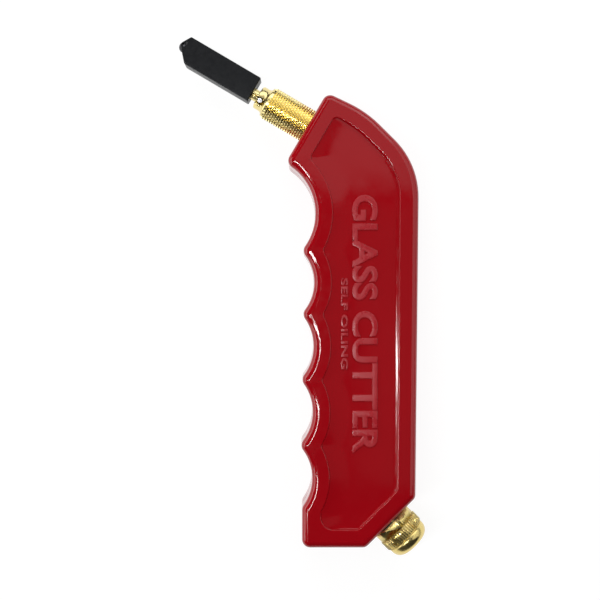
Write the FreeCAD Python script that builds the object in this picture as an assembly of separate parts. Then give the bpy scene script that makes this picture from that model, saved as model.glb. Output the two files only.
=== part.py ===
import FreeCAD
import Part
import math
import os

# Millimetres. The tool lies on its side: +X towards the back of the handle,
# +Y up the handle towards the head, +Z up through its thickness.
# Lengths marked u run along the head axis from the nose face outwards,
# lengths marked s run along the cap axis from the bottom corner outwards.

# handle outline: x, y and corner radius, round the outside of the grip
HANDLE_THICKNESS = 19.0
MID_Z = HANDLE_THICKNESS / 2
CORNER_R = 2.4
OUTLINE = [
    (6.8, 60.4, CORNER_R),
    (18.4, 54.9, 33.0),
    (34.1, 39.35, 24.0),
    (33.05, -59.75, CORNER_R),
    (18.3, -74.5, CORNER_R),
    (-0.6, -74.5, CORNER_R),
    (-0.6, -61.5, 0.0),
    (-4.2, -61.5, 0.0),
    (-7.2, 36.7, 0.0),
]
# finger grooves: x and y of the centre, radius
GROOVES = [
    (-13.6, 24.6, 16.95),
    (-10.4, 4.1, 13.4),
    (-11.5, -14.8, 14.3),
    (-11.65, -34.25, 14.2),
    (-11.6, -53.9, 14.0),
]
RIDGE_R = 2.4
EDGE_R = 2.2

# shells
WALL = 2.4
SKIN = 3.2
PANEL_INSET = 5.6
PANEL_GROOVE_INSET = 5.2
PANEL_DEPTH = 0.9
PANEL_CORNER_R = 1.6
PANEL_HEEL_R = 3.8
PANEL_RIM_R = 0.3
PANEL_FLOOR_R = 0.5
SEAM_WIDTH = 0.3
SEAM_DEPTH = 0.15
TONGUE_INSET = 0.85
TONGUE_WIDTH = 0.8
TONGUE_HEIGHT = 1.0
TONGUE_GAP = 0.05
BOSS_R = 7.6
NOSE_BOSS_DEPTH = 17.0
FILLER_BOSS_DEPTH = 10.0

# head axis
NOSE_X = 1.5
NOSE_Y = 51.4
HEAD_ANGLE = 30.5

# nose insert and collar
INSERT_FRONT_U = -2.0
INSERT_REAR_U = -14.0
INSERT_R = 5.8
INSERT_GROOVE_R = 5.4
INSERT_GROOVE_WIDTH = 1.6
INSERT_GROOVES_U = (-5.2, -9.2)
TAIL_R = 4.0
TAIL_REAR_U = -12.0
COLLAR_BACK_U = -1.5
KNURL_END_U = 14.6
BARREL_R = 5.05
BARREL_HOLE_R = 5.1
BARREL_CHAMFER = 0.4
NOSE_FRONT_U = 17.7
NOSE_R = 3.6
COVE_LENGTH = 1.5
COVE_SAG = 0.25
NOSE_CHAMFER = 0.3
GUIDE_R = 1.85
SLOT_WIDTH = 2.3
SLOT_DEPTH = 2.7
SLOT_TURN = 20.0
GASKET_OUTER_R = 5.0
SEAT_U = 2.0
CHAMBER_R = 2.8

# valve
PLUNGER_FRONT_U = 3.0
PLUNGER_STEM_R = 1.3
PLUNGER_HEAD_R = 2.6
PLUNGER_HEAD_FRONT_U = 1.2
PLUNGER_HEAD_REAR_U = -0.8
PLUNGER_STUB_R = 1.3
PLUNGER_STUB_REAR_U = -2.8
PLUNGER_FLAT = 2.2
SPRING_COIL_R = 1.95
SPRING_WIRE_R = 0.25
SPRING_TURNS = 7
RETAINER_FRONT_U = -9.0
RETAINER_REAR_U = -11.6
RETAINER_STUB_R = 1.4
RETAINER_STUB_U = -7.8
RETAINER_PORT_R = 0.8

# shank
SHANK_REAR_U = 3.0
SHANK_R = 1.8
SHANK_BORE_R = 0.6
SHANK_FRONT_U = 27.6
ORING_U = 12.0
ORING_SECTION_R = 0.3
ORING_OUTER_R = 1.85
ORING_GROOVE_WIDTH = 0.8
SHANK_PORT_R = 0.5
SHANK_PORT_U = 4.4
PIN_U = 16.55
PIN_R = 0.7
PIN_INNER = 0.8
PIN_OUTER = 3.1
WICK_R = 0.5
WICK_REAR_U = 5.2

# head: u and v from the middle of its rear face
HEAD_REAR_U = 19.6
HEAD_OFFSET_V = 0.9
HEAD_THICKNESS = 7.0
HEAD_OUTLINE = [
    (0.0, -4.0, 0.3),
    (22.1, -4.0, 1.2),
    (25.0, -0.75, 1.6),
    (25.85, 0.35, 0.4),
    (25.85, 1.25, 0.4),
    (24.25, 4.0, 0.5),
    (0.0, 4.0, 0.3),
]
HEAD_EDGE = 0.25
SHANK_SOCKET_DEPTH = 8.2
WICK_BORE_R = 0.65
WHEEL_SLOT_WIDTH = 1.15
WHEEL_SLOT_START = 22.4
WHEEL_U = 25.0
WHEEL_V = 0.7
WICK_FRONT = 23.5
WHEEL_R = 1.75
WHEEL_WIDTH = 1.0
WHEEL_RIM_WIDTH = 0.04
WHEEL_BEVEL = 0.2
WHEEL_BORE_R = 0.53
AXLE_R = 0.5
AXLE_LENGTH = 6.3
AXLE_MOUTH_R = 0.72
AXLE_MOUTH_DEPTH = 0.3

# filler
FILLER_X = 25.6
FILLER_Y = -67.2
CAP_ANGLE = -45.0
NECK_GASKET_THICKNESS = 0.6
NECK_GASKET_R = 6.2
NECK_FLANGE_R = 6.5
NECK_FLANGE_S = 3.5
NECK_FLATS = 11.5
NECK_FLATS_TURN = 18.5
NECK_ROOT_R = 5.0
NECK_ROOT_S = -9.0
NECK_ROOT_GROOVE_R = 4.6
NECK_ROOT_GROOVE_WIDTH = 1.4
NECK_ROOT_GROOVES_S = (-3.2, -6.2)
NECK_BORE_R = 3.1
NECK_TOP_S = 8.9
NECK_CORE_R = 3.95
NECK_CHAMFER = 0.35
CAP_OPEN_S = 3.56
CAP_RIB_END_S = 6.9
CAP_RIB_R = 6.75
CAP_ROOT_R = 6.36
CAP_RIBS = 54
CAP_RIB_TOP = 0.22
CAP_RIB_FOOT = 0.36
CAP_MOUTH_CHAMFER = 0.3
CAP_STEP_S = 7.15
CAP_STEP_R = 6.15
CAP_DOME_R = 6.35
CAP_SHOULDER_R = 2.9
CAP_DOME_S = 10.95
CAP_CROWN_S = 11.5
CAP_CEILING_S = 9.7
CAP_BORE_R = 4.6
CAP_GASKET_R = 4.3
CAP_GASKET_THICKNESS = 0.8

# filler thread
THREAD_PITCH = 1.5
THREAD_CREST = 0.22
THREAD_ROOT = 0.8
THREAD_DEPTH = 0.5
THREAD_SINK = 0.12
NECK_THREAD_FROM_S = 4.2
NECK_THREAD_TURNS = 2.6
CAP_THREAD_FROM_S = 4.3
CAP_THREAD_TURNS = 2.6

FAR = 60.0


def vec(x, y, z=0.0):
    return FreeCAD.Vector(x, y, z)


# the line through each pair of neighbouring corners, moved inwards by inset
def inset_corners(corners, inset):
    moved = []
    count = len(corners)
    for i in range(count):
        before = vec(*corners[i - 1][:2])
        here = vec(*corners[i][:2])
        after = vec(*corners[(i + 1) % count][:2])
        run_in = (here - before).normalize()
        run_out = (after - here).normalize()
        normal_in = vec(run_in.y, -run_in.x)
        normal_out = vec(run_out.y, -run_out.x)
        bisector = normal_in + normal_out
        bisector.multiply(inset / (1.0 + normal_in.dot(normal_out)))
        point = here + bisector
        radius = max(corners[i][2] - inset, 0.0)
        moved.append((point.x, point.y, radius))
    return moved


# closed face with a straight side between corners and an arc on each one
def rounded_face(corners):
    edges = []
    ends = []
    count = len(corners)
    for i in range(count):
        before = vec(*corners[i - 1][:2])
        here = vec(*corners[i][:2])
        after = vec(*corners[(i + 1) % count][:2])
        radius = corners[i][2]
        back = (before - here).normalize()
        ahead = (after - here).normalize()
        half = back.getAngle(ahead) / 2
        reach = radius / math.tan(half)
        start = here + back * reach
        end = here + ahead * reach
        ends.append((start, end))
        if radius > 0:
            inwards = (back + ahead).normalize()
            middle = here + inwards * (radius / math.sin(half) - radius)
            edges.append(Part.Arc(start, middle, end).toShape())
    for i in range(count):
        edges.append(Part.makeLine(ends[i - 1][1], ends[i][0]))
    return Part.Face(Part.Wire(Part.__sortEdges__(edges)))


def disc(x, y, radius):
    edge = Part.makeCircle(radius, vec(x, y))
    return Part.Face(Part.Wire([edge]))


def largest_face(shape):
    return max(shape.Faces, key=lambda face: face.Area)


def grip_face(inset, groove_inset):
    face = rounded_face(inset_corners(OUTLINE, inset))
    discs = [disc(x, y, r + groove_inset) for x, y, r in GROOVES]
    return largest_face(face.cut(discs))


def is_upright(edge):
    if len(edge.Vertexes) != 2:
        return False
    a, b = [v.Point for v in edge.Vertexes]
    return abs(a.x - b.x) < 1e-6 and abs(a.y - b.y) < 1e-6


# true where the two faces beside an edge meet at a corner
def is_sharp(solid, edge):
    faces = solid.ancestorsOfType(edge, Part.Face)
    if len(faces) != 2:
        return False
    middle = edge.valueAt((edge.FirstParameter + edge.LastParameter) / 2)
    normals = []
    for face in faces:
        a, b = face.Surface.parameter(middle)
        normals.append(face.normalAt(a, b))
    return normals[0].getAngle(normals[1]) > 0.1


def grip_prism(inset, groove_inset, low, high, radius):
    face = grip_face(inset, groove_inset)
    face.translate(vec(0, 0, low))
    solid = face.extrude(vec(0, 0, high - low))
    if radius <= 0:
        return solid
    edges = [e for e in solid.Edges if is_upright(e) and is_sharp(solid, e)]
    return solid.makeFillet(radius, edges)


def edges_at(solid, height):
    found = []
    for edge in solid.Edges:
        box = edge.BoundBox
        if abs(box.ZMin - height) < 1e-5 and abs(box.ZMax - height) < 1e-5:
            found.append(edge)
    return found


# places a shape built along +Z onto the head axis, its +X towards the top edge
def on_head_axis(shape):
    angle = math.radians(HEAD_ANGLE)
    along = vec(-math.cos(angle), math.sin(angle))
    across = vec(math.sin(angle), math.cos(angle))
    return placed(shape, vec(NOSE_X, NOSE_Y, MID_Z), along, across)


def on_cap_axis(shape):
    angle = math.radians(CAP_ANGLE)
    along = vec(math.cos(angle), math.sin(angle))
    across = vec(-math.sin(angle), math.cos(angle))
    return placed(shape, vec(FILLER_X, FILLER_Y, MID_Z), along, across)


def placed(shape, origin, along, across):
    up = along.cross(across)
    matrix = FreeCAD.Matrix(
        across.x, up.x, along.x, origin.x,
        across.y, up.y, along.y, origin.y,
        across.z, up.z, along.z, origin.z,
        0, 0, 0, 1,
    )
    moved = shape.copy()
    moved.Placement = FreeCAD.Placement(matrix).multiply(shape.Placement)
    return moved


# solid of revolution about +Z from (radius, height) points
def turned(points):
    corners = [vec(r, 0, z) for r, z in points]
    wire = Part.makePolygon(corners + corners[:1])
    return Part.Face(wire).revolve(vec(0, 0, 0), vec(0, 0, 1), 360)


def rod(radius, low, high):
    return Part.makeCylinder(radius, high - low, vec(0, 0, low))


def ring(outer, inner, low, high):
    return turned([(inner, low), (outer, low), (outer, high), (inner, high)])


def grooved_rod(radius, groove_radius, width, grooves, low, high):
    points = [(0, low), (radius, low)]
    for middle in sorted(grooves):
        points.append((radius, middle - width / 2))
        points.append((groove_radius, middle - width / 2))
        points.append((groove_radius, middle + width / 2))
        points.append((radius, middle + width / 2))
    points.append((radius, high))
    points.append((0, high))
    return turned(points)


def insert_envelope():
    return grooved_rod(
        INSERT_R, INSERT_GROOVE_R, INSERT_GROOVE_WIDTH,
        INSERT_GROOVES_U, INSERT_REAR_U, INSERT_FRONT_U,
    )


def neck_root_envelope():
    return grooved_rod(
        NECK_ROOT_R, NECK_ROOT_GROOVE_R, NECK_ROOT_GROOVE_WIDTH,
        NECK_ROOT_GROOVES_S, NECK_ROOT_S, 0.0,
    )


def outer_grip():
    body = grip_prism(0.0, 0.0, 0.0, HANDLE_THICKNESS, RIDGE_R)
    edges = edges_at(body, 0.0) + edges_at(body, HANDLE_THICKNESS)
    return body.makeFillet(EDGE_R, edges)


def panel_pocket():
    floor = HANDLE_THICKNESS - PANEL_DEPTH
    pocket = grip_prism(
        PANEL_INSET, PANEL_GROOVE_INSET, floor, HANDLE_THICKNESS + 1.0, 0.0,
    )
    corners = [e for e in pocket.Edges if is_upright(e) and is_sharp(pocket, e)]
    heel = min(corners, key=lambda e: e.BoundBox.XMin + e.BoundBox.YMin)
    pocket = pocket.makeFillet(PANEL_HEEL_R, [heel])
    corners = [e for e in pocket.Edges if is_upright(e) and is_sharp(pocket, e)]
    pocket = pocket.makeFillet(PANEL_CORNER_R, corners)
    return pocket.makeFillet(PANEL_FLOOR_R, edges_at(pocket, floor))


# rounds the edge that a pocket leaves in the outer face
def eased_rim(body, pocket, height):
    near = [e for e in edges_at(body, height) if e.distToShape(pocket)[0] < 1e-5]
    return body.makeFillet(PANEL_RIM_R, near)


# the fine groove where the two shells meet
def seam_groove():
    low = MID_Z - SEAM_WIDTH / 2
    high = MID_Z + SEAM_WIDTH / 2
    outside = Part.makeBox(4 * FAR, 4 * FAR, high - low, vec(-2 * FAR, -2 * FAR, low))
    return outside.cut(
        grip_prism(SEAM_DEPTH, SEAM_DEPTH, low - 1.0, high + 1.0, RIDGE_R - SEAM_DEPTH)
    )


def reservoir():
    space = grip_prism(WALL, WALL, SKIN, HANDLE_THICKNESS - SKIN, 0.0)
    nose_boss = on_head_axis(rod(BOSS_R, -NOSE_BOSS_DEPTH, FAR))
    filler_boss = on_cap_axis(rod(BOSS_R, -FILLER_BOSS_DEPTH, FAR))
    return space.cut(nose_boss).cut(filler_boss)


def nose_bore():
    envelope = insert_envelope()
    mouth = rod(BARREL_HOLE_R, INSERT_FRONT_U, FAR)
    passage = rod(TAIL_R, -NOSE_BOSS_DEPTH - 1.0, INSERT_REAR_U)
    return on_head_axis(envelope.fuse(mouth).fuse(passage))


def filler_bore():
    passage = rod(NECK_BORE_R, -FILLER_BOSS_DEPTH - 1.0, NECK_ROOT_S)
    return on_cap_axis(neck_root_envelope().fuse(passage))


def joint_ring(gap, height):
    outer_inset = TONGUE_INSET - gap
    inner_inset = TONGUE_INSET + TONGUE_WIDTH + gap
    outer = grip_prism(outer_inset, outer_inset, MID_Z, MID_Z + height, 0.0)
    inner = grip_prism(inner_inset, inner_inset, MID_Z - 1, MID_Z + height + 1, 0.0)
    return outer.cut(inner)


def mirrored_over(shape):
    return shape.mirror(vec(0, 0, MID_Z), vec(0, 0, 1))


def whole_grip():
    pocket = panel_pocket()
    underside = mirrored_over(pocket)
    body = outer_grip().cut(pocket).cut(underside)
    body = eased_rim(body, pocket, HANDLE_THICKNESS)
    body = eased_rim(body, underside, 0.0)
    return body.cut(seam_groove()).cut(reservoir())


def half_space(low, high):
    return Part.makeBox(2 * FAR, 4 * FAR, high - low, vec(-FAR, -2 * FAR, low))


def handle_shell_lower(grip):
    half = grip.common(half_space(-1.0, MID_Z))
    half = half.fuse(joint_ring(0.0, TONGUE_HEIGHT)).removeSplitter()
    return half.cut(nose_bore()).cut(filler_bore())


def handle_shell_upper(grip):
    half = grip.common(half_space(MID_Z, HANDLE_THICKNESS + 1.0))
    half = half.cut(joint_ring(TONGUE_GAP, TONGUE_HEIGHT + TONGUE_GAP))
    return half.cut(nose_bore()).cut(filler_bore())


def nose_insert():
    return on_head_axis(insert_envelope().cut(rod(TAIL_R, -FAR, FAR)))


def collar_gasket():
    return on_head_axis(ring(GASKET_OUTER_R, TAIL_R, INSERT_FRONT_U, COLLAR_BACK_U))


def knurled_collar():
    shoulder_u = KNURL_END_U - BARREL_CHAMFER
    body = turned([
        (0, TAIL_REAR_U),
        (TAIL_R, TAIL_REAR_U),
        (TAIL_R, COLLAR_BACK_U),
        (BARREL_R, COLLAR_BACK_U),
        (BARREL_R, shoulder_u),
        (BARREL_R - BARREL_CHAMFER, KNURL_END_U),
        (0, KNURL_END_U),
    ])
    start = vec(BARREL_R - BARREL_CHAMFER, 0, KNURL_END_U)
    end = vec(NOSE_R, 0, KNURL_END_U + COVE_LENGTH)
    middle = (start + end) * 0.5 + vec(-COVE_SAG, 0, -COVE_SAG)
    front = NOSE_FRONT_U
    corners = [
        end,
        vec(NOSE_R, 0, front - NOSE_CHAMFER),
        vec(NOSE_R - NOSE_CHAMFER, 0, front),
        vec(0, 0, front),
        vec(0, 0, KNURL_END_U),
        start,
    ]
    edges = [Part.Arc(start, middle, end).toShape()]
    edges.append(Part.makePolygon(corners))
    nose_face = Part.Face(Part.Wire(edges))
    nose = nose_face.revolve(vec(0, 0, 0), vec(0, 0, 1), 360)
    body = body.fuse(nose).removeSplitter()
    body = body.cut(rod(GUIDE_R, SEAT_U - 1, FAR))
    body = body.cut(rod(CHAMBER_R, -FAR, SEAT_U))
    slot = Part.makeBox(
        SLOT_WIDTH, 4 * NOSE_R, SLOT_DEPTH + 1,
        vec(-SLOT_WIDTH / 2, -2 * NOSE_R, NOSE_FRONT_U - SLOT_DEPTH),
    )
    slot.rotate(vec(0, 0, 0), vec(0, 0, 1), -SLOT_TURN)
    return on_head_axis(body.cut(slot))


def valve_plunger():
    body = turned([
        (0, PLUNGER_STUB_REAR_U),
        (PLUNGER_STUB_R, PLUNGER_STUB_REAR_U),
        (PLUNGER_STUB_R, PLUNGER_HEAD_REAR_U),
        (PLUNGER_HEAD_R, PLUNGER_HEAD_REAR_U),
        (PLUNGER_HEAD_R, PLUNGER_HEAD_FRONT_U),
        (PLUNGER_STEM_R, PLUNGER_HEAD_FRONT_U),
        (PLUNGER_STEM_R, PLUNGER_FRONT_U),
        (0, PLUNGER_FRONT_U),
    ])
    length = PLUNGER_HEAD_FRONT_U - PLUNGER_HEAD_REAR_U
    for turn in (0, 120, 240):
        flat = Part.makeBox(
            PLUNGER_HEAD_R, 2 * PLUNGER_HEAD_R, length,
            vec(PLUNGER_FLAT, -PLUNGER_HEAD_R, PLUNGER_HEAD_REAR_U),
        )
        flat.rotate(vec(0, 0, 0), vec(0, 0, 1), turn)
        body = body.cut(flat)
    return on_head_axis(body)


def plunger_seal():
    return on_head_axis(
        ring(PLUNGER_FLAT, PLUNGER_STEM_R, PLUNGER_HEAD_FRONT_U, SEAT_U)
    )


def valve_spring():
    low = RETAINER_FRONT_U + SPRING_WIRE_R
    high = PLUNGER_HEAD_REAR_U - SPRING_WIRE_R
    height = high - low
    helix = Part.makeHelix(height / SPRING_TURNS, height, SPRING_COIL_R)
    section = Part.Wire([Part.makeCircle(
        SPRING_WIRE_R, vec(SPRING_COIL_R, 0), vec(0, 1, 0)
    )])
    coil = Part.Wire(helix.Edges).makePipeShell([section], True, True)
    coil.translate(vec(0, 0, low))
    return on_head_axis(coil)


def valve_retainer():
    body = turned([
        (0, RETAINER_REAR_U),
        (CHAMBER_R, RETAINER_REAR_U),
        (CHAMBER_R, RETAINER_FRONT_U),
        (RETAINER_STUB_R, RETAINER_FRONT_U),
        (RETAINER_STUB_R, RETAINER_STUB_U),
        (0, RETAINER_STUB_U),
    ])
    return on_head_axis(body.cut(rod(RETAINER_PORT_R, -FAR, FAR)))


def shank_oring():
    torus = Part.makeTorus(ORING_OUTER_R - ORING_SECTION_R, ORING_SECTION_R)
    torus.translate(vec(0, 0, ORING_U))
    return on_head_axis(torus)


def head_shank():
    groove_r = ORING_OUTER_R - 2 * ORING_SECTION_R
    body = grooved_rod(
        SHANK_R, groove_r, ORING_GROOVE_WIDTH, (ORING_U,),
        SHANK_REAR_U, SHANK_FRONT_U,
    )
    body = body.cut(rod(SHANK_BORE_R, -FAR, FAR))
    port = Part.makeCylinder(
        SHANK_PORT_R, 4 * SHANK_R, vec(-2 * SHANK_R, 0, SHANK_PORT_U), vec(1, 0, 0)
    )
    body = body.cut(port)
    return on_head_axis(body.cut(pin_stubs()))


def pin_stubs():
    stubs = []
    for side in (-1, 1):
        stubs.append(Part.makeCylinder(
            PIN_R, PIN_OUTER - PIN_INNER,
            vec(0, side * PIN_INNER, PIN_U), vec(0, side, 0),
        ))
    both = Part.makeCompound(stubs)
    both.rotate(vec(0, 0, 0), vec(0, 0, 1), -SLOT_TURN)
    return both


def swivel_pins():
    return on_head_axis(pin_stubs())


def wick():
    return on_head_axis(rod(WICK_R, WICK_REAR_U, HEAD_REAR_U + WICK_FRONT))


# a shape drawn flat with x along the head and y across it, put in its place
def in_head_frame(shape):
    up = vec(0, 0, 1)
    moved = shape.copy()
    moved.rotate(vec(0, 0, 0), vec(1, 0, 0), 180)
    moved.rotate(vec(0, 0, 0), up, 180 - HEAD_ANGLE)
    angle = math.radians(HEAD_ANGLE)
    along = vec(-math.cos(angle), math.sin(angle)) * HEAD_REAR_U
    across = vec(math.sin(angle), math.cos(angle)) * HEAD_OFFSET_V
    moved.translate(vec(NOSE_X, NOSE_Y, MID_Z) + along + across)
    return moved


def head_body():
    face = rounded_face(HEAD_OUTLINE)
    face.translate(vec(0, 0, -HEAD_THICKNESS / 2))
    body = face.extrude(vec(0, 0, HEAD_THICKNESS))
    rims = edges_at(body, -HEAD_THICKNESS / 2) + edges_at(body, HEAD_THICKNESS / 2)
    body = body.makeChamfer(HEAD_EDGE, rims)
    slot = Part.makeBox(
        FAR, FAR, WHEEL_SLOT_WIDTH,
        vec(WHEEL_SLOT_START, -FAR / 2, -WHEEL_SLOT_WIDTH / 2),
    )
    body = body.cut(slot)
    hole = rod(AXLE_R, -FAR, FAR)
    for side in (-1, 1):
        mouth_end = side * (HEAD_THICKNESS / 2 - AXLE_MOUTH_DEPTH)
        low = min(mouth_end, side * FAR)
        high = max(mouth_end, side * FAR)
        hole = hole.fuse(rod(AXLE_MOUTH_R, low, high))
    hole.translate(vec(WHEEL_U, WHEEL_V))
    body = in_head_frame(body.cut(hole))
    socket = rod(SHANK_R, HEAD_REAR_U - 1, HEAD_REAR_U + SHANK_SOCKET_DEPTH)
    bore = rod(WICK_BORE_R, HEAD_REAR_U, HEAD_REAR_U + WHEEL_SLOT_START + 0.2)
    return body.cut(on_head_axis(socket.fuse(bore)))


def cutting_wheel():
    half = WHEEL_WIDTH / 2
    rim = WHEEL_RIM_WIDTH / 2
    body = turned([
        (WHEEL_BORE_R, -half),
        (WHEEL_R - WHEEL_BEVEL, -half),
        (WHEEL_R, -rim),
        (WHEEL_R, rim),
        (WHEEL_R - WHEEL_BEVEL, half),
        (WHEEL_BORE_R, half),
    ])
    body.translate(vec(WHEEL_U, WHEEL_V))
    return in_head_frame(body)


def wheel_axle():
    body = rod(AXLE_R, -AXLE_LENGTH / 2, AXLE_LENGTH / 2)
    body.translate(vec(WHEEL_U, WHEEL_V))
    return in_head_frame(body)


# one thread ridge; side +1 stands outwards from radius, -1 inwards
# every ridge with the same phase lies on one helix, wherever it starts
def thread_ridge(radius, side, low, turns, phase):
    helix = Part.makeHelix(THREAD_PITCH, THREAD_PITCH * turns, radius)
    inner = radius - side * THREAD_SINK
    outer = radius + side * THREAD_DEPTH
    sunk = THREAD_ROOT / 2
    points = [
        vec(inner, 0, -sunk),
        vec(outer, 0, -THREAD_CREST / 2),
        vec(outer, 0, THREAD_CREST / 2),
        vec(inner, 0, sunk),
    ]
    section = Part.makePolygon(points + points[:1])
    ridge = Part.Wire(helix.Edges).makePipeShell([section], True, True)
    ridge.translate(vec(0, 0, low))
    turn = 360.0 * (low - phase) / THREAD_PITCH
    ridge.rotate(vec(0, 0, 0), vec(0, 0, 1), turn)
    return ridge


def filler_neck():
    flange_start = NECK_GASKET_THICKNESS
    body = turned([
        (0, 0.0),
        (NECK_ROOT_R, 0.0),
        (NECK_ROOT_R, flange_start),
        (NECK_FLANGE_R, flange_start),
        (NECK_FLANGE_R, NECK_FLANGE_S),
        (NECK_CORE_R, NECK_FLANGE_S),
        (NECK_CORE_R, NECK_TOP_S - NECK_CHAMFER),
        (NECK_CORE_R - NECK_CHAMFER, NECK_TOP_S),
        (0, NECK_TOP_S),
    ])
    for side in (0, 180):
        flat = Part.makeBox(
            FAR, FAR, NECK_FLANGE_S - flange_start,
            vec(NECK_FLATS / 2, -FAR / 2, flange_start),
        )
        flat.rotate(vec(0, 0, 0), vec(0, 0, 1), side - 90 + NECK_FLATS_TURN)
        body = body.cut(flat)
    body = body.fuse(neck_root_envelope()).removeSplitter()
    ridge = thread_ridge(
        NECK_CORE_R, 1, NECK_THREAD_FROM_S, NECK_THREAD_TURNS, 0.0
    )
    body = body.fuse(ridge)
    return on_cap_axis(body.cut(rod(NECK_BORE_R, -FAR, FAR)))


def neck_gasket():
    return on_cap_axis(ring(NECK_GASKET_R, NECK_ROOT_R, 0.0, NECK_GASKET_THICKNESS))


def ribbed_prism(low, high):
    rib = [
        (-CAP_RIB_FOOT, CAP_ROOT_R),
        (-CAP_RIB_TOP, CAP_RIB_R),
        (CAP_RIB_TOP, CAP_RIB_R),
        (CAP_RIB_FOOT, CAP_ROOT_R),
    ]
    points = []
    for i in range(CAP_RIBS):
        for share, radius in rib:
            angle = 2 * math.pi * (i + share) / CAP_RIBS
            points.append(vec(radius * math.cos(angle), radius * math.sin(angle), low))
    face = Part.Face(Part.makePolygon(points + points[:1]))
    return face.extrude(vec(0, 0, high - low))


def cap_dome():
    shoulder = CAP_DOME_R - CAP_SHOULDER_R
    bend_start = CAP_DOME_S - CAP_SHOULDER_R
    lean = CAP_SHOULDER_R * math.sin(math.pi / 4)
    start = vec(CAP_DOME_R, 0, bend_start)
    middle = vec(shoulder + lean, 0, bend_start + lean)
    end = vec(shoulder, 0, CAP_DOME_S)
    peak = vec(0, 0, CAP_CROWN_S)
    rise = CAP_CROWN_S - CAP_DOME_S
    ball = (shoulder ** 2 + rise ** 2) / (2 * rise)
    tilt = math.asin(shoulder / ball) / 2
    drop = ball * (1 - math.cos(tilt))
    half_way = vec(ball * math.sin(tilt), 0, CAP_CROWN_S - drop)
    edges = [
        Part.Arc(start, middle, end).toShape(),
        Part.Arc(end, half_way, peak).toShape(),
    ]
    edges.append(Part.makePolygon([
        peak,
        vec(0, 0, CAP_RIB_END_S),
        vec(CAP_STEP_R, 0, CAP_RIB_END_S),
        vec(CAP_STEP_R, 0, CAP_STEP_S),
        vec(CAP_DOME_R, 0, CAP_STEP_S),
        start,
    ]))
    face = Part.Face(Part.Wire(edges))
    return face.revolve(vec(0, 0, 0), vec(0, 0, 1), 360)


def filler_cap():
    ribs = ribbed_prism(CAP_OPEN_S, CAP_RIB_END_S)
    trim = turned([
        (0, CAP_OPEN_S),
        (CAP_RIB_R - CAP_MOUTH_CHAMFER, CAP_OPEN_S),
        (CAP_RIB_R, CAP_OPEN_S + CAP_MOUTH_CHAMFER),
        (CAP_RIB_R, CAP_RIB_END_S - CAP_MOUTH_CHAMFER),
        (CAP_RIB_R - CAP_MOUTH_CHAMFER, CAP_RIB_END_S),
        (0, CAP_RIB_END_S),
    ])
    body = ribs.common(trim).fuse(cap_dome())
    body = body.cut(rod(CAP_BORE_R, CAP_OPEN_S - 1, CAP_CEILING_S))
    ridge = thread_ridge(
        CAP_BORE_R, -1, CAP_THREAD_FROM_S, CAP_THREAD_TURNS, THREAD_PITCH / 2
    )
    return on_cap_axis(body.fuse(ridge))


def cap_gasket():
    return on_cap_axis(
        rod(CAP_GASKET_R, CAP_CEILING_S - CAP_GASKET_THICKNESS, CAP_CEILING_S)
    )


def export(name, shape):
    for solid in shape.Solids:
        if not solid.isValid() or solid.Volume <= 0:
            print("not sound:", name)
    if not shape.Solids:
        print("no solid:", name)
    shape.exportStep(os.path.join("parts", name + ".step"))


def build():
    os.makedirs("parts", exist_ok=True)
    grip = whole_grip()
    export("handle_shell_lower", handle_shell_lower(grip))
    export("handle_shell_upper", handle_shell_upper(grip))
    export("nose_insert", nose_insert())
    export("collar_gasket", collar_gasket())
    export("knurled_collar", knurled_collar())
    export("valve_plunger", valve_plunger())
    export("plunger_seal", plunger_seal())
    export("valve_spring", valve_spring())
    export("valve_retainer", valve_retainer())
    export("shank_oring", shank_oring())
    export("head_shank", head_shank())
    export("swivel_pins", swivel_pins())
    export("wick", wick())
    export("head_body", head_body())
    export("cutting_wheel", cutting_wheel())
    export("wheel_axle", wheel_axle())
    export("filler_neck", filler_neck())
    export("neck_gasket", neck_gasket())
    export("filler_cap", filler_cap())
    export("cap_gasket", cap_gasket())


if __name__ == "__main__":
    build()
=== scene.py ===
import bmesh
import bpy
import math
from mathutils import Matrix, Vector
from mathutils.bvhtree import BVHTree


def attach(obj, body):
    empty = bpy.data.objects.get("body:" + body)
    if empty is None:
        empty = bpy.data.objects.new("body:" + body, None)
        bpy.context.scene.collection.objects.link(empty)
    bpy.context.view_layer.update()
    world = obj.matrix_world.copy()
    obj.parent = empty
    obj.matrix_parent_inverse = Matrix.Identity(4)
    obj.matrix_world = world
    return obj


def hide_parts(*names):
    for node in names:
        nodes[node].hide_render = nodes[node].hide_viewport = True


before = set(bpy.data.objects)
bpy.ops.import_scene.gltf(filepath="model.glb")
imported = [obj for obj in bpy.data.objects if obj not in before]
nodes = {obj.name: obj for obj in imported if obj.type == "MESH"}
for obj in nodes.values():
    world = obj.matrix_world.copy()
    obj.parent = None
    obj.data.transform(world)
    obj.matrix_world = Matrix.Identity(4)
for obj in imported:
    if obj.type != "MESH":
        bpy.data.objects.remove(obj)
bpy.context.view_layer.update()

mm = 0.001

# the two slanted axes of the tool: where they start and which way they point
headAxis = {"x": 1.5, "y": 51.4, "z": 9.5, "angle": 180 - 30.5}
capAxis = {"x": 25.6, "y": -67.2, "z": 9.5, "angle": -45.0}


def axisMatrix(axis):
    # local +Z runs outwards along the axis, local +Y lies level across it
    turn = math.radians(axis["angle"])
    along = Vector((math.cos(turn), math.sin(turn), 0))
    across = Vector((0, 0, 1)).cross(along)
    up = across.cross(along)
    basis = Matrix((up, across, along)).transposed().to_4x4()
    place = Matrix.Translation(Vector((axis["x"], axis["y"], axis["z"])) * mm)
    return place @ basis


headPlace = axisMatrix(headAxis)
capPlace = axisMatrix(capAxis)


def newObject(name, data):
    thing = bpy.data.objects.new(name, data)
    bpy.context.scene.collection.objects.link(thing)
    return thing


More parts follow.
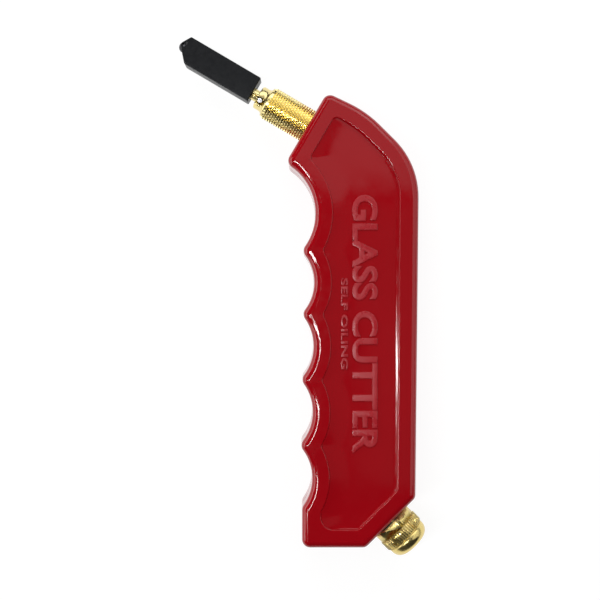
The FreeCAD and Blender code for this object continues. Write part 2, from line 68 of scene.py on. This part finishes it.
def newMaterial(name, colour, **sockets):
    mat = bpy.data.materials.new(name)
    mat.use_nodes = True
    shader = mat.node_tree.nodes["Principled BSDF"]
    shader.inputs["Base Color"].default_value = (*colour, 1)
    for key, value in sockets.items():
        shader.inputs[key.replace("_", " ")].default_value = value
    return mat, mat.node_tree, shader


def addNode(tree, kind, **settings):
    node = tree.nodes.new(kind)
    for key, value in settings.items():
        setattr(node, key, value)
    return node


def objectCoords(tree, place=None, stretch=(1, 1, 1)):
    coords = addNode(tree, "ShaderNodeTexCoord")
    mapping = addNode(tree, "ShaderNodeMapping")
    mapping.inputs["Scale"].default_value = stretch
    if place is not None:
        mapping.vector_type = "TEXTURE"
        mapping.inputs["Location"].default_value = place.to_translation()
        mapping.inputs["Rotation"].default_value = place.to_euler()
    tree.links.new(coords.outputs["Object"], mapping.inputs["Vector"])
    return mapping.outputs["Vector"]


def noise(tree, vector, scale, detail=3.0, roughness=0.5):
    node = addNode(tree, "ShaderNodeTexNoise")
    node.inputs["Scale"].default_value = scale
    node.inputs["Detail"].default_value = detail
    node.inputs["Roughness"].default_value = roughness
    tree.links.new(vector, node.inputs["Vector"])
    return node.outputs["Fac"]


def ramp(tree, source, low, high, start=0.0, end=1.0):
    node = addNode(tree, "ShaderNodeMapRange")
    node.inputs["From Min"].default_value = start
    node.inputs["From Max"].default_value = end
    node.inputs["To Min"].default_value = low
    node.inputs["To Max"].default_value = high
    tree.links.new(source, node.inputs["Value"])
    return node.outputs["Result"]


def tint(tree, source, first, second):
    node = addNode(tree, "ShaderNodeMix", data_type="RGBA")
    node.inputs["A"].default_value = (*first, 1)
    node.inputs["B"].default_value = (*second, 1)
    tree.links.new(source, node.inputs["Factor"])
    return node.outputs["Result"]


def bump(tree, shader, height, strength, distance, under=None):
    node = addNode(tree, "ShaderNodeBump")
    node.inputs["Strength"].default_value = strength
    node.inputs["Distance"].default_value = distance
    tree.links.new(height, node.inputs["Height"])
    if under is not None:
        tree.links.new(under, node.inputs["Normal"])
    tree.links.new(node.outputs["Normal"], shader.inputs["Normal"])
    return node.outputs["Normal"]


def redPlastic(name, shallow, deep, gloss):
    mat, tree, shader = newMaterial(name, shallow, Roughness=gloss, IOR=1.5)
    vector = objectCoords(tree)
    cloud = noise(tree, vector, 40.0, 2.0)
    tree.links.new(tint(tree, cloud, deep, shallow), shader.inputs["Base Color"])
    handling = noise(tree, vector, 260.0, 5.0, 0.6)
    tree.links.new(
        ramp(tree, handling, gloss * 0.7, gloss * 1.5, 0.35, 0.7), shader.inputs["Roughness"],
    )
    sink = bump(tree, shader, noise(tree, vector, 70.0, 1.0), 0.15, 0.0008)
    bump(tree, shader, noise(tree, vector, 900.0, 3.0), 0.05, 0.0001, sink)
    return mat


def brass(name, place, dull, bright, roughness=0.2, rings=0.08):
    mat, tree, shader = newMaterial(name, bright, Metallic=1.0, Roughness=roughness)
    vector = objectCoords(tree, place)
    patina = noise(tree, vector, 330.0, 4.0, 0.6)
    tree.links.new(tint(tree, patina, dull, bright), shader.inputs["Base Color"])
    tree.links.new(
        ramp(tree, patina, roughness * 0.7, roughness * 1.4, 0.3, 0.7),
        shader.inputs["Roughness"],
    )
    turning = addNode(tree, "ShaderNodeTexNoise")
    squeeze = addNode(tree, "ShaderNodeMapping")
    squeeze.inputs["Scale"].default_value = (60, 60, 9000)
    tree.links.new(vector, squeeze.inputs["Vector"])
    tree.links.new(squeeze.outputs["Vector"], turning.inputs["Vector"])
    turning.inputs["Scale"].default_value = 1.0
    turning.inputs["Detail"].default_value = 2.0
    bump(tree, shader, turning.outputs["Fac"], rings, 0.0001)
    return mat


def blackOxide():
    mat, tree, shader = newMaterial(
        "blackOxideSteel", (0.006, 0.007, 0.009), Roughness=0.38, Specular_IOR_Level=0.26,
    )
    vector = objectCoords(tree, headPlace)
    grain = noise(tree, vector, 800.0, 6.0, 0.7)
    colour = tint(tree, grain, (0.003, 0.0035, 0.005), (0.008, 0.009, 0.011))
    tree.links.new(colour, shader.inputs["Base Color"])
    tree.links.new(ramp(tree, grain, 0.30, 0.46, 0.3, 0.7), shader.inputs["Roughness"])
    bump(tree, shader, grain, 0.25, 0.00006)
    return mat


def groundSteel(name, colour, roughness):
    mat, tree, shader = newMaterial(name, colour, Metallic=1.0, Roughness=roughness)
    vector = objectCoords(tree, stretch=(1, 1, 6))
    grain = noise(tree, vector, 1500.0, 4.0, 0.6)
    tree.links.new(
        ramp(tree, grain, roughness * 0.7, roughness * 1.5, 0.3, 0.7),
        shader.inputs["Roughness"],
    )
    bump(tree, shader, grain, 0.15, 0.00004)
    return mat


def nitrile():
    mat, tree, shader = newMaterial("nitrileRubber", (0.02, 0.02, 0.021), Roughness=0.6)
    grain = noise(tree, objectCoords(tree), 1800.0, 4.0)
    tree.links.new(ramp(tree, grain, 0.5, 0.75, 0.3, 0.7), shader.inputs["Roughness"])
    bump(tree, shader, grain, 0.2, 0.00004)
    return mat


def cotton():
    mat, tree, shader = newMaterial("wickCotton", (0.82, 0.79, 0.70), Roughness=0.95)
    vector = objectCoords(tree, headPlace)
    twist = addNode(tree, "ShaderNodeTexWave", wave_type="BANDS", bands_direction="DIAGONAL")
    twist.inputs["Scale"].default_value = 900.0
    twist.inputs["Distortion"].default_value = 1.5
    tree.links.new(vector, twist.inputs["Vector"])
    colour = tint(tree, twist.outputs["Fac"], (0.62, 0.58, 0.49), (0.88, 0.85, 0.77))
    tree.links.new(colour, shader.inputs["Base Color"])
    bump(tree, shader, twist.outputs["Fac"], 0.4, 0.0001)
    return mat


plastic = redPlastic("redMouldedPlastic", (0.38, 0.0018, 0.0065), (0.32, 0.0012, 0.005), 0.09)
# painted sheen: the letters are the handle's red plastic, but their paler, pinker base colour
# stands in for light caught on their tops; the higher roughness is real
letterPlasticPaintedSheen = redPlastic("redLetteringPaintedSheen", (0.43, 0.012, 0.02), (0.38, 0.009, 0.016), 0.3)
collarBrass = brass("collarBrass", headPlace, (0.82, 0.66, 0.27), (0.93, 0.80, 0.40))
capBrass = brass("capBrass", capPlace, (0.70, 0.54, 0.19), (0.84, 0.68, 0.27), 0.24)
headBlack = blackOxide()
carbide = groundSteel("groundCarbide", (0.14, 0.14, 0.15), 0.3)
# painted shade: the axle is a steel pin, but its near-black colour stands in for the shade in the
# hole it sits in
axleSteelPaintedShade = groundSteel("axleSteelPaintedShade", (0.10, 0.10, 0.11), 0.35)
spring = groundSteel("springSteel", (0.36, 0.36, 0.37), 0.3)
rubber = nitrile()
wickCotton = cotton()
print("materials made")


# corners closer than the first are one; edges shorter than the second are dropped (metres)
mergeGap = 2e-6
shortEdge = 1e-7


def smoothCopy(node, name, sharpAngle=32.0):
    # the same shape with shared corners, so that light runs over it cleanly
    mesh = nodes[node].data.copy()
    mesh.name = name
    bm = bmesh.new()
    bm.from_mesh(mesh)
    bmesh.ops.remove_doubles(bm, verts=bm.verts, dist=mergeGap)
    bmesh.ops.dissolve_degenerate(bm, edges=bm.edges, dist=shortEdge)
    bm.to_mesh(mesh)
    bm.free()
    for polygon in mesh.polygons:
        polygon.use_smooth = True
    mesh.set_sharp_from_angle(angle=math.radians(sharpAngle))
    return newObject(name, mesh)


def weighNormals(piece):
    even = piece.modifiers.new("evenShading", "WEIGHTED_NORMAL")
    even.mode = "FACE_AREA"
    even.weight = 50
    even.keep_sharp = True


def finishPiece(piece, body, material, *replaced):
    piece.data.materials.clear()
    piece.data.materials.append(material)
    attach(piece, body)
    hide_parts(*replaced)


takenOver = {
    "handle_shell_upper": ("frontShell", "handle", plastic, 28),
    "handle_shell_lower": ("backShell", "handle", plastic, 28),
    "filler_neck": ("fillerNeck", "handle", capBrass, 32),
    "filler_cap": ("fillerCap", "cap", capBrass, 24),
    "head_body": ("cutterHead", "head", headBlack, 32),
    "head_shank": ("headShank", "head", collarBrass, 32),
    "cutting_wheel": ("cuttingWheel", "wheel", carbide, 20),
    "wheel_axle": ("wheelAxle", "head", axleSteelPaintedShade, 32),
}
for node, (name, body, material, angle) in takenOver.items():
    piece = smoothCopy(node, name, angle)
    weighNormals(piece)
    finishPiece(piece, body, material, node)

# the collar's diamond knurl: a lattice of blunt pyramids on a barrel turned down to its root
knurl = {
    "around": 35, "helix": 30.0, "from": -1.3, "to": 14.3,
    "barrel": 5.05, "root": 4.64, "crest": 5.05, "blunt": 0.3,
    "sunk": 0.02, "reach": 0.1, "sharp": 25,
}


def addInput(tree, name, kind):
    return tree.interface.new_socket(name=name, in_out="INPUT", socket_type=kind)


def calc(tree, operation, first, second=None):
    node = addNode(tree, "ShaderNodeMath", operation=operation)
    for socket, value in zip(node.inputs, (first, second)):
        if value is None:
            continue
        if isinstance(value, (int, float)):
            socket.default_value = value
        else:
            tree.links.new(value, socket)
    return node.outputs["Value"]


def knurlTree():
    tree = bpy.data.node_groups.new("diamondKnurl", "GeometryNodeTree")
    tree.interface.new_socket(name="Geometry", in_out="OUTPUT", socket_type="NodeSocketGeometry")
    for name in ("Around", "Rows"):
        addInput(tree, name, "NodeSocketInt")
    for name in ("Start", "Row Step", "Root Radius", "Height", "Half Width", "Blunt"):
        addInput(tree, name, "NodeSocketFloat")
    addInput(tree, "Finish", "NodeSocketMaterial")
    given = addNode(tree, "NodeGroupInput").outputs
    number = addNode(tree, "GeometryNodeInputIndex").outputs["Index"]
    row = calc(tree, "FLOOR", calc(tree, "DIVIDE", number, given["Around"]))
    shift = calc(tree, "MULTIPLY", calc(tree, "MODULO", row, 2.0), 0.5)
    step = calc(tree, "ADD", calc(tree, "MODULO", number, given["Around"]), shift)
    angle = calc(tree, "MULTIPLY", calc(tree, "DIVIDE", step, given["Around"]), 2 * math.pi)
    outwards = addNode(tree, "ShaderNodeCombineXYZ")
    tree.links.new(calc(tree, "COSINE", angle), outwards.inputs["X"])
    tree.links.new(calc(tree, "SINE", angle), outwards.inputs["Y"])
    onBarrel = addNode(tree, "ShaderNodeVectorMath", operation="SCALE")
    tree.links.new(outwards.outputs["Vector"], onBarrel.inputs["Vector"])
    tree.links.new(given["Root Radius"], onBarrel.inputs["Scale"])
    along = addNode(tree, "ShaderNodeCombineXYZ")
    height = calc(tree, "ADD", calc(tree, "MULTIPLY", row, given["Row Step"]), given["Start"])
    tree.links.new(height, along.inputs["Z"])
    spot = addNode(tree, "ShaderNodeVectorMath", operation="ADD")
    tree.links.new(onBarrel.outputs["Vector"], spot.inputs[0])
    tree.links.new(along.outputs["Vector"], spot.inputs[1])
    points = addNode(tree, "GeometryNodePoints")
    tree.links.new(calc(tree, "MULTIPLY", given["Around"], given["Rows"]), points.inputs["Count"])
    tree.links.new(spot.outputs["Vector"], points.inputs["Position"])
    facing = addNode(tree, "FunctionNodeAxesToRotation", primary_axis="Z", secondary_axis="Y")
    tree.links.new(outwards.outputs["Vector"], facing.inputs["Primary Axis"])
    facing.inputs["Secondary Axis"].default_value = (0, 0, 1)
    pyramid = addNode(tree, "GeometryNodeMeshCone", fill_type="NGON")
    pyramid.inputs["Vertices"].default_value = 4
    pyramid.inputs["Radius Bottom"].default_value = 1.0
    pyramid.inputs["Depth"].default_value = 1.0
    tree.links.new(given["Blunt"], pyramid.inputs["Radius Top"])
    size = addNode(tree, "ShaderNodeCombineXYZ")
    tree.links.new(given["Half Width"], size.inputs["X"])
    tree.links.new(given["Row Step"], size.inputs["Y"])
    tree.links.new(given["Height"], size.inputs["Z"])
    diamonds = addNode(tree, "GeometryNodeInstanceOnPoints")
    tree.links.new(points.outputs["Points"], diamonds.inputs["Points"])
    tree.links.new(pyramid.outputs["Mesh"], diamonds.inputs["Instance"])
    tree.links.new(facing.outputs["Rotation"], diamonds.inputs["Rotation"])
    tree.links.new(size.outputs["Vector"], diamonds.inputs["Scale"])
    real = addNode(tree, "GeometryNodeRealizeInstances")
    tree.links.new(diamonds.outputs["Instances"], real.inputs["Geometry"])
    finish = addNode(tree, "GeometryNodeSetMaterial")
    tree.links.new(real.outputs["Geometry"], finish.inputs["Geometry"])
    tree.links.new(given["Finish"], finish.inputs["Material"])
    result = addNode(tree, "NodeGroupOutput")
    tree.links.new(finish.outputs["Geometry"], result.inputs["Geometry"])
    return tree


def bakedMesh(tree, name, values):
    # runs a Geometry Nodes tree on an empty mesh and keeps the plain result
    holder = newObject(name, bpy.data.meshes.new(name + "Start"))
    modifier = holder.modifiers.new(name, "NODES")
    modifier.node_group = tree
    for item in tree.interface.items_tree:
        if item.in_out == "INPUT" and item.name in values:
            modifier[item.identifier] = values[item.name]
    depsgraph = bpy.context.evaluated_depsgraph_get()
    mesh = bpy.data.meshes.new_from_object(holder.evaluated_get(depsgraph))
    bpy.data.objects.remove(holder)
    return mesh


def makeKnurl():
    halfWidth = math.pi * knurl["root"] / knurl["around"]
    pitch = math.pi * knurl["crest"] / knurl["around"]
    rowStep = pitch / math.tan(math.radians(knurl["helix"]))
    rows = int((knurl["to"] - knurl["from"]) / rowStep) - 1
    mesh = bakedMesh(knurlTree(), "diamonds", {
        "Around": knurl["around"], "Rows": rows,
        "Start": (knurl["to"] - rows * rowStep) * mm, "Row Step": rowStep * mm,
        "Root Radius": (knurl["root"] - knurl["sunk"]) * mm, "Half Width": halfWidth * mm,
        "Height": (knurl["crest"] - knurl["root"] + knurl["sunk"]) * mm,
        "Blunt": knurl["blunt"], "Finish": collarBrass,
    })
    mesh.transform(headPlace)
    return mesh


def knurledCollar():
    piece = smoothCopy("knurled_collar", "knurledCollar")
    toAxis = headPlace.inverted()
    for vertex in piece.data.vertices:
        local = toAxis @ vertex.co
        radius = math.hypot(local.x, local.y)
        onBarrel = radius > (knurl["barrel"] - knurl["reach"]) * mm
        if onBarrel and local.z > knurl["from"] * mm * 2:
            shrink = knurl["root"] * mm / radius
            vertex.co = headPlace @ Vector((local.x * shrink, local.y * shrink, local.z))
    piece.data.materials.clear()
    piece.data.materials.append(collarBrass)
    bm = bmesh.new()
    bm.from_mesh(piece.data)
    bm.from_mesh(makeKnurl())
    bm.to_mesh(piece.data)
    bm.free()
    for polygon in piece.data.polygons:
        polygon.use_smooth = True
    piece.data.set_sharp_from_angle(angle=math.radians(knurl["sharp"]))
    weighNormals(piece)
    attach(piece, "handle")
    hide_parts("knurled_collar")


knurledCollar()

# the sunk panel's floor: a soft sweep along the finger side, a narrow bevel along the back
panel = {
    "floor": 18.12, "step": 0.4, "under": 1.6, "sweepRise": 0.42, "sweepWidth": 6.0,
    "bevelRise": 0.18, "bevelWidth": 0.72, "wallLow": 18.4, "wallHigh": 18.85,
    "left": 0.0, "right": 32.0, "low": -72.0, "high": 58.0, "steep": 0.5,
}


def pocketWalls(mostLeft, mostRight):
    # the steep faces round the pocket whose outward lean in x lies between two limits
    source = nodes["handle_shell_upper"].data
    faces = []
    for polygon in source.polygons:
        steep = abs(polygon.normal.z) < panel["steep"]
        level = panel["wallLow"] < polygon.center.z / mm < panel["wallHigh"]
        if steep and level and mostLeft < polygon.normal.x <= mostRight:
            faces.append(list(polygon.vertices))
    return BVHTree.FromPolygons([vertex.co for vertex in source.vertices], faces)


def wallDistance(walls, x, y):
    # how far inside the wall a spot lies; less than nothing when it is outside
    spot = Vector((x, y, (panel["wallLow"] + panel["wallHigh"]) / 2)) * mm
    found, normal, index, distance = walls.find_nearest(spot)
    away = (spot - found).to_2d()
    inside = away.dot(normal.to_2d()) > 0
    return away.length / mm if inside else -away.length / mm


def panelHeight(fromFinger, fromBack):
    sweep = 1.0 - min(max(fromFinger / panel["sweepWidth"], 0.0), 1.0)
    bevel = 1.0 - min(max(fromBack / panel["bevelWidth"], 0.0), 1.0)
    rise = max(panel["sweepRise"] * sweep ** 2, panel["bevelRise"] * bevel)
    return panel["floor"] + rise


def panelFloor():
    step = panel["step"]
    fingerWalls = pocketWalls(0.5, 1.0)
    backWalls = pocketWalls(-1.0, -0.8)
    otherWalls = pocketWalls(-0.8, 0.5)
    bm = bmesh.new()
    grid = {}
    for j in range(int((panel["high"] - panel["low"]) / step)):
        for i in range(int((panel["right"] - panel["left"]) / step)):
            x = panel["left"] + i * step
            y = panel["low"] + j * step
            fromFinger = wallDistance(fingerWalls, x, y)
            fromBack = wallDistance(backWalls, x, y)
            nearest = min(fromFinger, fromBack, wallDistance(otherWalls, x, y), key=abs)
            if nearest > -panel["under"]:
                height = panelHeight(fromFinger, fromBack)
                grid[i, j] = bm.verts.new(Vector((x, y, height)) * mm)
    for i, j in grid:
        corners = [(i, j), (i + 1, j), (i + 1, j + 1), (i, j + 1)]
        if all(corner in grid for corner in corners):
            bm.faces.new([grid[corner] for corner in corners])
    loose = [vertex for vertex in bm.verts if not vertex.link_faces]
    bmesh.ops.delete(bm, geom=loose, context="VERTS")
    mesh = bpy.data.meshes.new("panelFloor")
    bm.to_mesh(mesh)
    bm.free()
    for polygon in mesh.polygons:
        polygon.use_smooth = True
    piece = newObject("panelFloor", mesh)
    mesh.materials.append(plastic)
    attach(piece, "handle")


panelFloor()

# raised words on the panel, read from the head end down: x of the foot of the letters,
# y of the first letter, height of a capital and length of the line
lettering = {
    "raise": 0.34, "sink": 0.3, "floor": 18.12, "sharp": 40, "curve": 6,
    "weight": 0.012, "depth": 0.02, "round": 0.025, "roundSteps": 3,
    "lines": [
        ("GLASS CUTTER", 14.2, 30.0, 7.6, 76.5),
        ("SELF OILING", 10.9, 5.4, 2.1, 27.0),
    ],
}


def raisedLine(words, foot, start, height, length):
    text = bpy.data.curves.new(words, "FONT")
    text.body = words
    text.resolution_u = lettering["curve"]
    text.offset = lettering["weight"]
    text.extrude = lettering["depth"]
    text.bevel_depth = lettering["round"]
    text.bevel_resolution = lettering["roundSteps"]
    holder = newObject(words, text)
    depsgraph = bpy.context.evaluated_depsgraph_get()
    mesh = bpy.data.meshes.new_from_object(holder.evaluated_get(depsgraph))
    bpy.data.objects.remove(holder)
    low = Vector([min(v.co[i] for v in mesh.vertices) for i in range(3)])
    high = Vector([max(v.co[i] for v in mesh.vertices) for i in range(3)])
    top = lettering["floor"] + lettering["raise"]
    thick = lettering["raise"] + lettering["sink"]
    for vertex in mesh.vertices:
        share = [(vertex.co[i] - low[i]) / (high[i] - low[i]) for i in range(3)]
        vertex.co = Vector((
            foot + share[1] * height, start - share[0] * length, top - (1 - share[2]) * thick,
        )) * mm
    return mesh


def raisedWords():
    mesh = bpy.data.meshes.new("raisedWords")
    bm = bmesh.new()
    for line in lettering["lines"]:
        bm.from_mesh(raisedLine(*line))
    bmesh.ops.remove_doubles(bm, verts=bm.verts, dist=mergeGap / 2)
    bmesh.ops.recalc_face_normals(bm, faces=bm.faces)
    bm.to_mesh(mesh)
    bm.free()
    for polygon in mesh.polygons:
        polygon.use_smooth = True
    mesh.set_sharp_from_angle(angle=math.radians(lettering["sharp"]))
    # the letters take the red plastic with painted sheen in its base colour
    mesh.materials.append(letterPlasticPaintedSheen)
    piece = newObject("raisedWords", mesh)
    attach(piece, "handle")


raisedWords()

keptNodes = {
    "nose_insert": collarBrass, "collar_gasket": rubber, "valve_plunger": collarBrass,
    "plunger_seal": rubber, "valve_spring": spring, "valve_retainer": collarBrass,
    "shank_oring": rubber, "swivel_pins": spring, "wick": wickCotton,
    "neck_gasket": rubber, "cap_gasket": rubber,
}
for node, material in keptNodes.items():
    nodes[node].data.materials.clear()
    nodes[node].data.materials.append(material)
print("pieces made")


studio = {
    "floor": 1.6, "floorShade": 0.15, "floorGlow": 0.9, "world": 0.03,
    "cameraHeight": 363.0, "lens": 70.0, "centreX": -1.2, "centreY": -1.1,
}
# each lamp: where it hangs, what it points at, its two sides in metres, its power in watts
lamps = {
    "leftStrip": ((-0.20, -0.09, 0.54), (0, 0, 0), 0.036, 0.36, 1.35),
    "leftCard": ((-0.36, 0.04, 0.10), (0, 0.04, 0), 0.46, 0.14, 0.60),
    "topCard": ((-0.02, 0.42, 0.30), (-0.02, 0.05, 0.05), 0.70, 0.34, 1.2),
    "rightCard": ((0.26, 0.13, 0.22), (0, 0.10, 0.05), 0.5, 0.34, 0.46),
    "hazeCard": ((0.15, 0.24, 0.60), (0.15, 0.24, 0), 0.50, 0.30, 0.24),
    "veilCard": ((0.13, -0.04, 0.60), (0.13, -0.04, 0), 0.17, 0.22, 0.012),
}


def floorMaterial():
    shade = studio["floorShade"]
    mat, tree, shader = newMaterial("paleFloor", (shade, shade, shade), Roughness=1.0)
    speck = noise(tree, objectCoords(tree), 300.0, 3.0)
    tree.links.new(
        tint(tree, speck, (shade, shade, shade), (shade * 1.1, shade * 1.1, shade * 1.1)),
        shader.inputs["Base Color"],
    )
    shader.inputs["Specular IOR Level"].default_value = 0.0
    shader.inputs["Emission Color"].default_value = (1, 1, 1, 1)
    shader.inputs["Emission Strength"].default_value = studio["floorGlow"]
    return mat


def makeFloor():
    size = studio["floor"] / 2
    mesh = bpy.data.meshes.new("floor")
    corners = [(-size, -size, 0), (size, -size, 0), (size, size, 0), (-size, size, 0)]
    mesh.from_pydata(corners, [], [(0, 1, 2, 3)])
    mesh.materials.append(floorMaterial())
    newObject("floor", mesh)


def hangLamp(name, spot, target, width, height, watts):
    data = bpy.data.lights.new(name, "AREA")
    data.shape = "RECTANGLE"
    data.size = width
    data.size_y = height
    data.energy = watts
    lamp = newObject(name, data)
    lamp.location = spot
    direction = Vector(target) - Vector(spot)
    lamp.rotation_euler = direction.to_track_quat("-Z", "Y").to_euler()


makeFloor()
for name, values in lamps.items():
    hangLamp(name, *values)
world = bpy.data.worlds.new("studio")
world.use_nodes = True
background = world.node_tree.nodes["Background"]
background.inputs["Color"].default_value = (1, 1, 1, 1)
background.inputs["Strength"].default_value = studio["world"]
bpy.context.scene.world = world

cameraData = bpy.data.cameras.new("camera")
cameraData.lens = studio["lens"]
cameraData.sensor_width = 36.0
cameraData.clip_start = 0.01
camera = newObject("camera", cameraData)
camera.location = (
    studio["centreX"] * mm, studio["centreY"] * mm, studio["cameraHeight"] * mm,
)
bpy.context.scene.camera = camera
bpy.context.scene.view_settings.view_transform = "Standard"
print("studio made")
